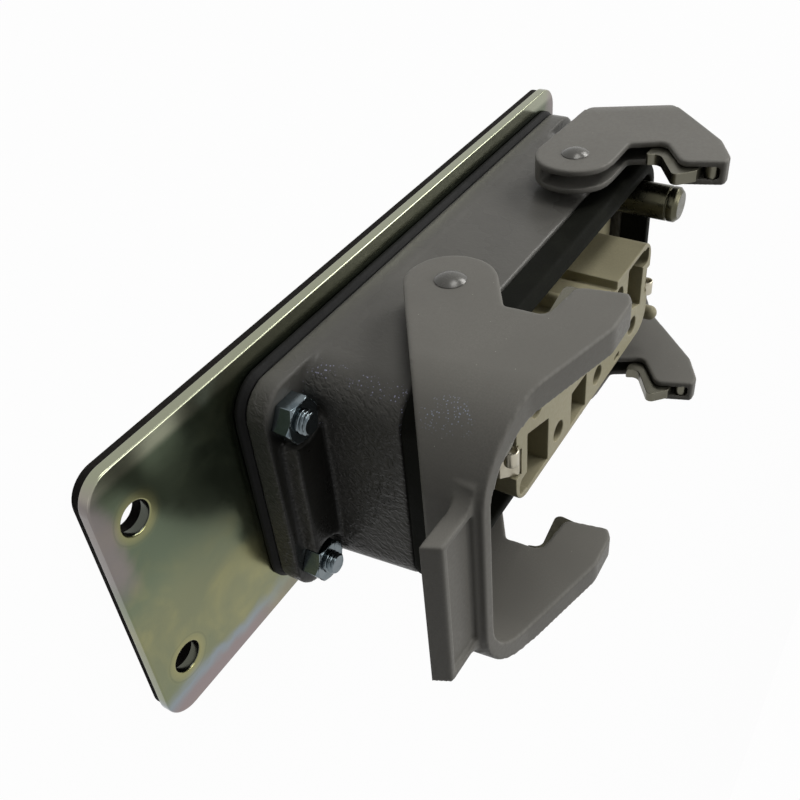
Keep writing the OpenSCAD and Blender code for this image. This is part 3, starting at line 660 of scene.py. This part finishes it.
@dataclass(frozen=True)
class MouldedPlastic(Finish):
    """Moulded plastic with a fine grain and, where asked for, small painted glints.

    Attributes:
        grain: Grains to the metre.
        depth: Depth of the grain.
        glints: How much brighter the painted glints are, or 0 for none.
        glint_scale: Cells to the metre, of which a few hold a glint.
        painted_sparkle: Painted sparkle on a round corner, if there is any.
    """

    grain: float = 3200.0
    depth: float = 0.012 * MM
    glints: float = 0.0
    glint_scale: float = 2100.0
    painted_sparkle: PaintedSparkle | None = None

    def detail(self, graph: Graph) -> None:
        """Adds the grain, a faint drift of colour, painted glints and painted sparkle.

        Args:
            graph: The material's tree.
        """
        grain = graph.noise(self.grain, detail=3.0, rough=0.6)
        flow = graph.noise(70.0, distort=0.5)
        colour = graph.blend(graph.ramp(flow, 0.3, 0.7), shade(self.colour, 0.94),
                             shade(self.colour, 1.06))
        colour = graph.blend(graph.ramp(grain, 0.3, 0.7), shade(self.colour, 0.93), colour)
        if self.glints > 0.0:
            colour = self.glint(graph, colour)
        # Painted sparkle, a painted highlight, if there is any.
        if self.painted_sparkle is not None:
            colour = self.painted_sparkle.lay(graph, colour)
        graph.set(Base_Color=colour)
        graph.set(Roughness=graph.ramp(graph.noise(self.grain * 0.5), 0.3, 0.7,
                                       self.roughness * 0.88, self.roughness * 1.12))
        graph.set(Normal=graph.bump(grain, self.depth, 0.7, graph.bump(flow, 0.05 * MM, 0.4)))

    def glint(self, graph: Graph, below: bpy.types.NodeSocket) -> bpy.types.NodeSocket:
        """Lays the painted glints, lighter specks that stand in for highlights, over a colour.

        Args:
            graph: The material's tree.
            below: The colour without glints.

        Returns:
            The colour with glints.
        """
        # Painted glints: lighter specks stand in for highlights.
        fleck = graph.cells(self.glint_scale)
        lucky = graph.ramp(graph.chance(fleck, Channel.RED), 0.988, 0.992)
        small = graph.ramp(fleck.outputs["Distance"], 0.1, 0.22, 1.0, 0.0)
        return graph.blend(graph.times(lucky, small), below, shade(self.colour, 1.0 + self.glints))


@dataclass(frozen=True)
class Rubber(Finish):
    """Matt rubber, close or cellular.

    Attributes:
        cell: Cells to the metre.
        depth: Depth of the cells.
    """

    cell: float = 2400.0
    depth: float = 0.02 * MM

    def detail(self, graph: Graph) -> None:
        """Adds the skin's pores and a dusty bloom.

        Args:
            graph: The material's tree.
        """
        pores = graph.cells(self.cell, smooth=0.4).outputs["Distance"]
        bloom = graph.noise(160.0, detail=4.0, rough=0.6)
        dusty = graph.ramp(bloom, 0.45, 0.75)
        graph.set(Base_Color=graph.blend(dusty, self.colour, shade(self.colour, 1.7)))
        graph.set(Normal=graph.bump(pores, self.depth, 0.8))
        graph.set(Roughness=graph.ramp(bloom, 0.3, 0.7, self.roughness * 0.9,
                                       min(1.0, self.roughness * 1.1)))


@dataclass(frozen=True)
class BareMetal(Finish):
    """Turned, rolled or plated metal with fine tool lines.

    Attributes:
        lines: Stretch of the coordinates that draws the lines.
        line_scale: Lines to the metre.
        depth: Depth of the lines.
        tarnish: Colour of the duller patches.
        tarnish_share: How much of that colour shows in them.
    """

    metallic: float = 1.0
    specular: float = 0.5
    lines: tuple[float, float, float] = (1.0, 1.0, 1.0)
    line_scale: float = 2600.0
    depth: float = 0.006 * MM
    tarnish: RGB = (0.2, 0.2, 0.18)
    tarnish_share: float = 0.3

    def detail(self, graph: Graph) -> None:
        """Adds the lines, the duller patches and the change of gloss that goes with them.

        Args:
            graph: The material's tree.
        """
        line = graph.noise(self.line_scale, rough=0.6, place=graph.stretched(*self.lines))
        patch = graph.noise(320.0, detail=3.0, rough=0.6, distort=0.4)
        share = graph.ramp(patch, 0.4, 0.75, 0.0, self.tarnish_share)
        graph.set(Base_Color=graph.blend(share, self.colour, self.tarnish))
        gloss = graph.plus(patch, graph.times(line, 0.4))
        graph.set(Roughness=graph.ramp(gloss, 0.5, 1.1, self.roughness * 0.8,
                                       self.roughness * 1.4))
        graph.set(Normal=graph.bump(line, self.depth, 0.6))


PANEL_HOLES = tuple((x * 65.0 * MM, y * 16.0 * MM, 3.5 * MM) for x in (-1, 1) for y in (-1, 1))
PLATE_FINISH = PassivatedZinc("yellow_passivate", (0.18, 0.19, 0.11), 0.2, metallic=1.0,
                              specular=0.5, holes=PANEL_HOLES)
PAINT = HammertonePaint("hammertone_enamel", (0.092, 0.09, 0.083), 0.28, specular=0.1)
# Painted sparkle on the near lever's bend, a painted highlight.
LEVER_SPARKLE = PaintedSparkle((-37.1 * MM, 24.4 * MM, 37.0 * MM), reach=4.5 * MM, cells=3000.0,
                      share=0.45, colour=(0.27, 0.31, 0.4))
# The lever gets painted glints and painted sparkle on its bend.
LEVER_PLASTIC = MouldedPlastic("filled_nylon", (0.13, 0.126, 0.114), 0.5, specular=0.14,
                               grain=3600.0, depth=0.016 * MM, glints=1.2, painted_sparkle=LEVER_SPARKLE)
INSERT_PLASTIC = MouldedPlastic("pebble_polycarbonate", (0.285, 0.262, 0.172), 0.48,
                                specular=0.2, grain=2600.0)
SEAL_RUBBER = Rubber("seal_rubber", (0.0055, 0.0058, 0.0045), 0.62, specular=0.03)
GASKET_RUBBER = Rubber("gasket_rubber", (0.009, 0.009, 0.009), 0.6, specular=0.08,
                       cell=1800.0, depth=0.03 * MM)
FOAM = Rubber("cell_foam", (0.012, 0.011, 0.01), 0.85, specular=0.05, cell=1500.0,
              depth=0.14 * MM)
BLUE_ZINC = BareMetal("blue_zinc", (0.155, 0.182, 0.194), 0.2, lines=(1.0, 1.0, 0.2),
                      line_scale=1800.0, depth=0.01 * MM, tarnish=(0.07, 0.095, 0.11),
                      tarnish_share=0.7)
SILVER = BareMetal("silver_plate", (0.85, 0.83, 0.78), 0.16, specular=0.4)
TIN_STRIP = BareMetal("tin_strip", (0.44, 0.41, 0.33), 0.38, lines=(1.0, 0.15, 1.0),
                      line_scale=2200.0, tarnish=(0.3, 0.27, 0.2), tarnish_share=0.4)
SPRING_STEEL = BareMetal("spring_steel", (0.13, 0.125, 0.098), 0.34, line_scale=2400.0,
                         depth=0.01 * MM, tarnish=(0.1, 0.095, 0.07), tarnish_share=0.5)
RIVET_STEEL = BareMetal("rivet_steel", (0.085, 0.083, 0.076), 0.26, metallic=0.1, specular=0.3,
                        line_scale=2400.0, depth=0.008 * MM, tarnish=(0.07, 0.068, 0.058),
                        tarnish_share=0.5)
GUIDE_STEEL = BareMetal("guide_steel", (0.078, 0.075, 0.05), 0.3, lines=(0.2, 0.2, 1.0),
                        line_scale=3000.0, depth=0.008 * MM, tarnish=(0.075, 0.07, 0.046),
                        tarnish_share=0.4)


def weld(piece: bpy.types.Object) -> None:
    """Joins the corners of a piece's faces where they meet."""
    joined = piece.modifiers.new("weld", "WELD")
    joined.merge_threshold = WELD


@dataclass(frozen=True)
class EdgeRounding:
    """Softens the edges of a machined, cast or moulded solid.

    Attributes:
        width: Width of the rounding.
        segments: Steps across it.
        angle: Edges sharper than this many degrees are rounded.
    """

    width: float
    segments: int = 2
    angle: float = 34.0

    def soften(self, piece: bpy.types.Object) -> None:
        """Adds the modifiers that round a piece's edges and even out its shading.

        Args:
            piece: The piece, which keeps its own mesh.
        """
        weld(piece)
        flat = piece.modifiers.new("flat", "DECIMATE")
        flat.decimate_type = "DISSOLVE"
        flat.angle_limit = math.radians(LEVEL_DEGREES)
        bevel = piece.modifiers.new("round", "BEVEL")
        bevel.width = self.width
        bevel.segments = self.segments
        bevel.limit_method = "ANGLE"
        bevel.angle_limit = math.radians(self.angle)
        bevel.use_clamp_overlap = False
        bevel.miter_outer = "MITER_ARC"
        even = piece.modifiers.new("even", "WEIGHTED_NORMAL")
        even.keep_sharp = False
        even.weight = 50


@dataclass(frozen=True)
class CastSkin:
    """Gives a cast or moulded solid one even skin with soft edges and soft inner corners.

    Attributes:
        grid: Size of the skin's faces.
        passes: Steps of smoothing, which widen the soft edges.
    """

    grid: float
    passes: int = 4

    def soften(self, piece: bpy.types.Object) -> None:
        """Adds the modifiers that lay the skin over a piece.

        Args:
            piece: The piece, which keeps its own mesh.
        """
        weld(piece)
        piece.modifiers.new("faces", "TRIANGULATE")
        skin = piece.modifiers.new("skin", "REMESH")
        skin.mode = "VOXEL"
        skin.voxel_size = self.grid
        skin.use_smooth_shade = True
        even = piece.modifiers.new("even", "SMOOTH")
        even.factor = 0.5
        even.iterations = self.passes


Softening = EdgeRounding | CastSkin


@dataclass
class Kit:
    """What every sub-assembly needs: the frame's nodes and the finishes made so far.

    Attributes:
        nodes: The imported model's objects by name.
        made: Materials by the finish that they show.
    """

    nodes: dict[str, bpy.types.Object]
    made: dict[str, bpy.types.Material] = field(default_factory=dict)

    def material(self, finish: Finish) -> bpy.types.Material:
        """Gives a finish's material, made once.

        Args:
            finish: The finish.

        Returns:
            Its material.
        """
        if finish.name not in self.made:
            self.made[finish.name] = finish.material()
        return self.made[finish.name]

    def dress(self, node: str, finish: Finish, rounding: Softening | None = None) -> None:
        """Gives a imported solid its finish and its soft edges.

        Args:
            node: The solid's name.
            finish: The finish it shows.
            rounding: How its edges are softened, if they are.
        """
        piece = self.nodes[node]
        for place in piece.material_slots:
            place.material = self.material(finish)
        if rounding is not None:
            rounding.soften(piece)
        LOG.info("dressed %s in %s", node, finish.name)

    def add(self, name: str, mesh: bpy.types.Mesh, finish: Finish, body: str, slot: str,
            instead_of: Iterable[str] = ()) -> bpy.types.Object:
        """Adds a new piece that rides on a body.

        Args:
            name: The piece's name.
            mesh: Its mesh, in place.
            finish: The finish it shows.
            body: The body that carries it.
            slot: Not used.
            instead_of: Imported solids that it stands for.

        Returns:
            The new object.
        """
        piece = bpy.data.objects.new(name, mesh)
        bpy.context.scene.collection.objects.link(piece)
        mesh.materials.append(self.material(finish))
        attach(piece, body)
        names = list(instead_of)
        if names:
            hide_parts(*names)
        LOG.info("made %s, %d faces", name, len(mesh.polygons))
        return piece


@dataclass
class PanelPlate:
    """The adapter plate and the foam gasket behind it.

    Attributes:
        kit: The frame's nodes and the finishes.
        edge: The plate's edges.
    """

    kit: Kit
    edge: EdgeRounding = EdgeRounding(0.3 * MM, 3)

    def build(self) -> None:
        """Dresses the plate and the gasket."""
        self.kit.dress("adapter_plate", PLATE_FINISH, self.edge)
        self.kit.dress("panel_gasket", FOAM)


@dataclass
class Housing:
    """The cast housing with its gasket and its mating seal.

    Attributes:
        kit: The frame's nodes and the finishes.
        cast_edge: The casting's skin.
        gasket_edge: The gasket's skin.
        seal_edge: The seal's skin.
    """

    kit: Kit
    cast_edge: CastSkin = CastSkin(0.42 * MM, 6)
    gasket_edge: CastSkin = CastSkin(0.3 * MM, 3)
    seal_edge: CastSkin = CastSkin(0.36 * MM, 2)

    def build(self) -> None:
        """Dresses the casting, the gasket and the seal."""
        self.kit.dress("housing_shell", PAINT, self.cast_edge)
        self.kit.dress("flange_gasket", GASKET_RUBBER, self.gasket_edge)
        self.kit.dress("mating_seal", SEAL_RUBBER, self.seal_edge)


@dataclass
class Insert:
    """The contact insert with its sockets, pins and earth strips.

    Attributes:
        kit: The frame's nodes and the finishes.
        contacts: How many contacts it holds.
        moulded: Edges of its body.
        turned: Edges of its metal pieces.
    """

    kit: Kit
    contacts: int = 6
    moulded: EdgeRounding = EdgeRounding(0.2 * MM, 2, 50.0)
    turned: EdgeRounding = EdgeRounding(0.12 * MM, 2, 40.0)

    def build(self) -> None:
        """Dresses the insert's body and everything that it carries."""
        self.kit.dress("insert_body", INSERT_PLASTIC, self.moulded)
        self.kit.dress("coding_pin", INSERT_PLASTIC)
        for number in range(1, self.contacts + 1):
            self.kit.dress(f"contact_{number}", SILVER, self.turned)
            self.kit.dress(f"terminal_screw_{number}", BLUE_ZINC, self.turned)
        for end in End:
            self.kit.dress(f"earth_strip_{end.value}", TIN_STRIP, self.turned)
            self.kit.dress(f"earth_screw_{end.value}", BLUE_ZINC, self.turned)
        self.kit.dress("guide_pin", GUIDE_STEEL, self.turned)
        self.kit.dress("guide_bush", GUIDE_STEEL, self.turned)
        self.kit.dress("insert_screw", BLUE_ZINC, self.turned)


@dataclass(frozen=True)
class Thread:
    """A rolled metric thread.

    Attributes:
        pitch: Rise of one turn.
        depth: Depth from crest to root.
        point: Length of the chamfer at the tip.
        crest: Share of the pitch that the flat crest takes.
        flank: Share of the pitch that both flanks take.
        run_in: Length over which the thread starts.
        around: Faces around the screw.
        rise: Height of one ring of faces.
    """

    pitch: float = 0.7 * MM
    depth: float = 0.4 * MM
    point: float = 0.35 * MM
    crest: float = 0.12
    flank: float = 0.76
    run_in: float = 0.4 * MM
    around: int = 48
    rise: float = 0.06 * MM

    def drop(self, height: float, angle: float) -> float:
        """Tells how far the flank lies below the crest.

        Args:
            height: Height on the screw.
            angle: Angle round it, in radians.

        Returns:
            The depth there.
        """
        phase = (height / self.pitch - angle / math.tau) % 1.0
        ramp = abs(2.0 * phase - 1.0)
        return self.depth * min(1.0, max(0.0, (ramp - self.crest) / self.flank))


@dataclass
class FlangeFixings:
    """The two screws with their nuts at the near end of the flange.

    Attributes:
        kit: The frame's nodes and the finishes.
        edge: The nuts' edges.
        thread: The screws' thread.
        shank_r: Radius of the screws over their thread.
        head_h: Height of their countersunk heads.
    """

    kit: Kit
    edge: EdgeRounding = EdgeRounding(0.12 * MM, 2, 20.0)
    thread: Thread = Thread()
    shank_r: float = 1.98 * MM
    head_h: float = 1.9 * MM

    def build(self) -> None:
        """Dresses the nuts and replaces the plain screws by threaded ones."""
        for side in Side:
            name = f"flange_screw_{side.value}"
            mesh = self.screw(*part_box(name))
            self.kit.add(f"threaded_{name}", mesh, BLUE_ZINC, BASE_BODY, "zinc_steel", [name])
            self.kit.dress(f"flange_nut_{side.value}", BLUE_ZINC, self.edge)

    def screw(self, low: Vector, high: Vector) -> bpy.types.Mesh:
        """Turns a countersunk screw with a thread up to its tip.

        Args:
            low: Lowest corner of the screw.
            high: Highest corner of the screw.

        Returns:
            The screw's mesh, in place.
        """
        centre_x, centre_y = (low[0] + high[0]) / 2, (low[1] + high[1]) / 2
        head_r, length = (high[0] - low[0]) / 2, high[2] - low[2]
        steps = max(2, round(length / self.thread.rise))
        work = bmesh.new()
        rings = []
        for step in range(steps + 1):
            height = length * step / steps
            ring = []
            for face in range(self.thread.around):
                angle = math.tau * face / self.thread.around
                radius = self.radius(height, angle, head_r, length)
                ring.append(work.verts.new((centre_x + radius * math.cos(angle),
                                            centre_y + radius * math.sin(angle),
                                            low[2] + height)))
            rings.append(ring)
        for lower, upper in zip(rings, rings[1:]):
            for face in range(self.thread.around):
                after = (face + 1) % self.thread.around
                work.faces.new((lower[face], lower[after], upper[after], upper[face])).smooth = True
        work.faces.new(list(reversed(rings[0])))
        work.faces.new(rings[-1])
        mesh = bpy.data.meshes.new("threaded_screw")
        work.to_mesh(mesh)
        work.free()
        return mesh

    def radius(self, height: float, angle: float, head_r: float, length: float) -> float:
        """Gives the screw's radius at a height above its lowest face.

        Args:
            height: Height above the head's flat face.
            angle: Angle round the screw, in radians.
            head_r: Radius of the head's flat face.
            length: Length of the whole screw.

        Returns:
            The radius there.
        """
        if height < self.head_h:
            return head_r + (self.shank_r - head_r) * height / self.head_h
        started = min(1.0, (height - self.head_h) / self.thread.run_in)
        crest = self.shank_r - self.thread.drop(height, angle) * started
        tip = self.shank_r - max(0.0, height - (length - self.thread.point))
        return min(crest, tip)


@dataclass
class Lever:
    """One locking lever with its hook plates, nose pins and pivots.

    Attributes:
        kit: The frame's nodes and the finishes.
        end: The end that it locks.
        moulded: The lever's skin.
        sheared: Edges of its metal pieces.
    """

    kit: Kit
    end: End
    moulded: CastSkin = CastSkin(0.31 * MM, 2)
    sheared: EdgeRounding = EdgeRounding(0.1 * MM, 2, 40.0)

    def build(self) -> None:
        """Dresses the lever and the metal pieces on both its arms."""
        end = self.end.value
        self.kit.dress(f"lever_{end}", LEVER_PLASTIC, self.moulded)
        for side in Side:
            self.kit.dress(f"hook_plate_{end}_{side.value}", SPRING_STEEL, self.sheared)
            self.kit.dress(f"nose_pin_{end}_{side.value}", SPRING_STEEL, self.sheared)
            self.kit.dress(f"pivot_pin_{end}_{side.value}", RIVET_STEEL)


@dataclass(frozen=True)
class Lamp:
    """One soft area lamp.

    Attributes:
        name: The lamp's name.
        aim: Direction from the object to the lamp.
        size: Side of the lamp.
        power: Its power in watts.
        far: Distance from the object.
        colour: Its colour.
    """

    name: str
    aim: Place
    size: float
    power: float
    far: float = 1.1
    colour: RGB = (1.0, 0.99, 0.97)

    def light(self, centre: Vector) -> None:
        """Hangs the lamp so that it faces the object.

        Args:
            centre: The object's centre.
        """
        data = bpy.data.lights.new(self.name, "AREA")
        data.shape = "SQUARE"
        data.size = self.size
        data.energy = self.power
        data.color = self.colour
        lamp = bpy.data.objects.new(self.name, data)
        direction = Vector(self.aim).normalized()
        lamp.location = centre + direction * self.far
        lamp.rotation_mode = "QUATERNION"
        lamp.rotation_quaternion = (-direction).to_track_quat("-Z", "Y")
        bpy.context.scene.collection.objects.link(lamp)


@dataclass
class Studio:
    """Camera, floor, lamps and world.

    Attributes:
        eye: Where the camera stands.
        right: The direction that runs to the right of the picture.
        down: The direction that runs to its foot.
        lens: Focal length in millimetres.
        sensor: Width of the sensor in millimetres.
        shift: Shift of the lens, as shares of the picture.
        clip: Nearest and farthest distance that the camera sees.
        floor_half: Half of the floor's side.
        floor_grey: How much light the floor throws back at the object.
        floor_white: Share of plain white that the camera sees of the floor.
        ambient: Level of the room's even light.
        backdrop: Level that the camera sees behind the object.
        lamps: The lamps.
    """

    eye: Place = (-117.876 * MM, 107.107 * MM, 87.169 * MM)
    right: tuple[float, float, float] = (0.52256, -0.08071, 0.84878)
    down: tuple[float, float, float] = (-0.57711, -0.76627, 0.28244)
    lens: float = 42.16
    sensor: float = 36.0
    shift: Span = (0.002, 0.0051)
    clip: Span = (0.01, 20.0)
    floor_half: float = 3.0
    floor_grey: float = 0.4
    floor_white: float = 0.975
    ambient: float = 0.06
    backdrop: float = 0.985
    lamps: tuple[Lamp, ...] = (
        Lamp("key", (0.12, 0.98, 0.08), 0.5, 6.6),
        Lamp("window", (0.7, 0.62, 0.34), 0.4, 6.0),
        Lamp("fill", (0.34, 0.22, 0.9), 0.6, 7.2),
        Lamp("side", (-0.97, 0.1, 0.1), 0.8, 0.75),
    )

    def build(self) -> None:
        """Makes the whole studio."""
        low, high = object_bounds()
        centre = (low + high) / 2
        self.camera()
        self.floor(low.z)
        self.world()
        for lamp in self.lamps:
            lamp.light(centre)
        bpy.context.scene.view_settings.view_transform = "Standard"

    def camera(self) -> None:
        """Sets the camera where the object is seen from."""
        data = bpy.data.cameras.new("camera")
        data.sensor_width = self.sensor
        data.lens = self.lens
        data.shift_x, data.shift_y = self.shift
        data.clip_start, data.clip_end = self.clip
        camera = bpy.data.objects.new("camera", data)
        across, up = Vector(self.right).normalized(), -Vector(self.down).normalized()
        back = across.cross(up).normalized()
        up = back.cross(across)
        turn = Matrix((across, up, back)).transposed().to_4x4()
        camera.matrix_world = Matrix.Translation(Vector(self.eye)) @ turn
        bpy.context.scene.collection.objects.link(camera)
        bpy.context.scene.camera = camera

    def seen(self, tree: bpy.types.NodeTree) -> bpy.types.NodeSocket:
        """Tells what a camera, mirror or glass sees from what only lights the object.

        Args:
            tree: The node tree that asks.

        Returns:
            1 for rays of the camera, of reflections and of glass.
        """
        path = add_node(tree, "LightPath", {})
        total = path.outputs["Is Camera Ray"]
        for name in ("Is Glossy Ray", "Is Transmission Ray"):
            inputs = {0: total, 1: path.outputs[name]}
            total = add_node(tree, "Math", inputs, operation=Sum.MAXIMUM.value).outputs["Value"]
        return total

    def floor(self, height: float) -> None:
        """Lays the pale floor under the object.

        Args:
            height: Where the object stands.
        """
        half = self.floor_half
        mesh = bpy.data.meshes.new("floor")
        corners = [(-half, -half, height), (half, -half, height), (half, half, height),
                   (-half, half, height)]
        mesh.from_pydata(corners, [], [(0, 1, 2, 3)])
        floor = bpy.data.objects.new("floor", mesh)
        bpy.context.scene.collection.objects.link(floor)
        mesh.materials.append(self.floor_material())
        floor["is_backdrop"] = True

    def floor_material(self) -> bpy.types.Material:
        """Makes the floor grey to the object and white to the camera.

        Returns:
            The floor's material.
        """
        material = bpy.data.materials.new("pale_floor")
        material.use_nodes = True
        tree = material.node_tree
        tree.nodes.clear()
        matt = add_node(tree, "BsdfDiffuse", {"Color": (self.floor_grey,) * 3})
        glow = add_node(tree, "Emission", {"Strength": 1.0})
        share = add_node(tree, "Math", {0: self.seen(tree), 1: self.floor_white},
                         operation=Sum.MULTIPLY.value)
        mix = add_node(tree, "MixShader", {"Fac": share.outputs["Value"], 1: matt.outputs["BSDF"],
                                           2: glow.outputs["Emission"]})
        add_node(tree, "OutputMaterial", {"Surface": mix.outputs["Shader"]})
        return material

    def world(self) -> None:
        """Fills the room with even light and shows it white to the camera."""
        world = bpy.data.worlds.new("room")
        bpy.context.scene.world = world
        world.use_nodes = True
        tree = world.node_tree
        tree.nodes.clear()
        level = add_node(tree, "MapRange", {"Value": self.seen(tree), "To Min": self.ambient,
                                            "To Max": self.backdrop})
        room = add_node(tree, "Background", {"Color": (1.0, 1.0, 1.0),
                                             "Strength": level.outputs["Result"]})
        add_node(tree, "OutputWorld", {"Surface": room.outputs["Background"]})


def main() -> None:
    """Loads the frame, dresses every sub-assembly and sets the studio."""
    logging.basicConfig(level=logging.INFO, format="%(name)s: %(message)s")
    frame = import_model()
    bpy.context.view_layer.update()
    kit = Kit(frame["nodes"])
    assemblies: list[PanelPlate | Housing | Insert | FlangeFixings | Lever] = [
        PanelPlate(kit), Housing(kit), Insert(kit), FlangeFixings(kit)]
    assemblies += [Lever(kit, end) for end in End]
    for assembly in assemblies:
        assembly.build()
    Studio().build()
    bpy.context.view_layer.update()


if __name__ == "__main__":
    main()
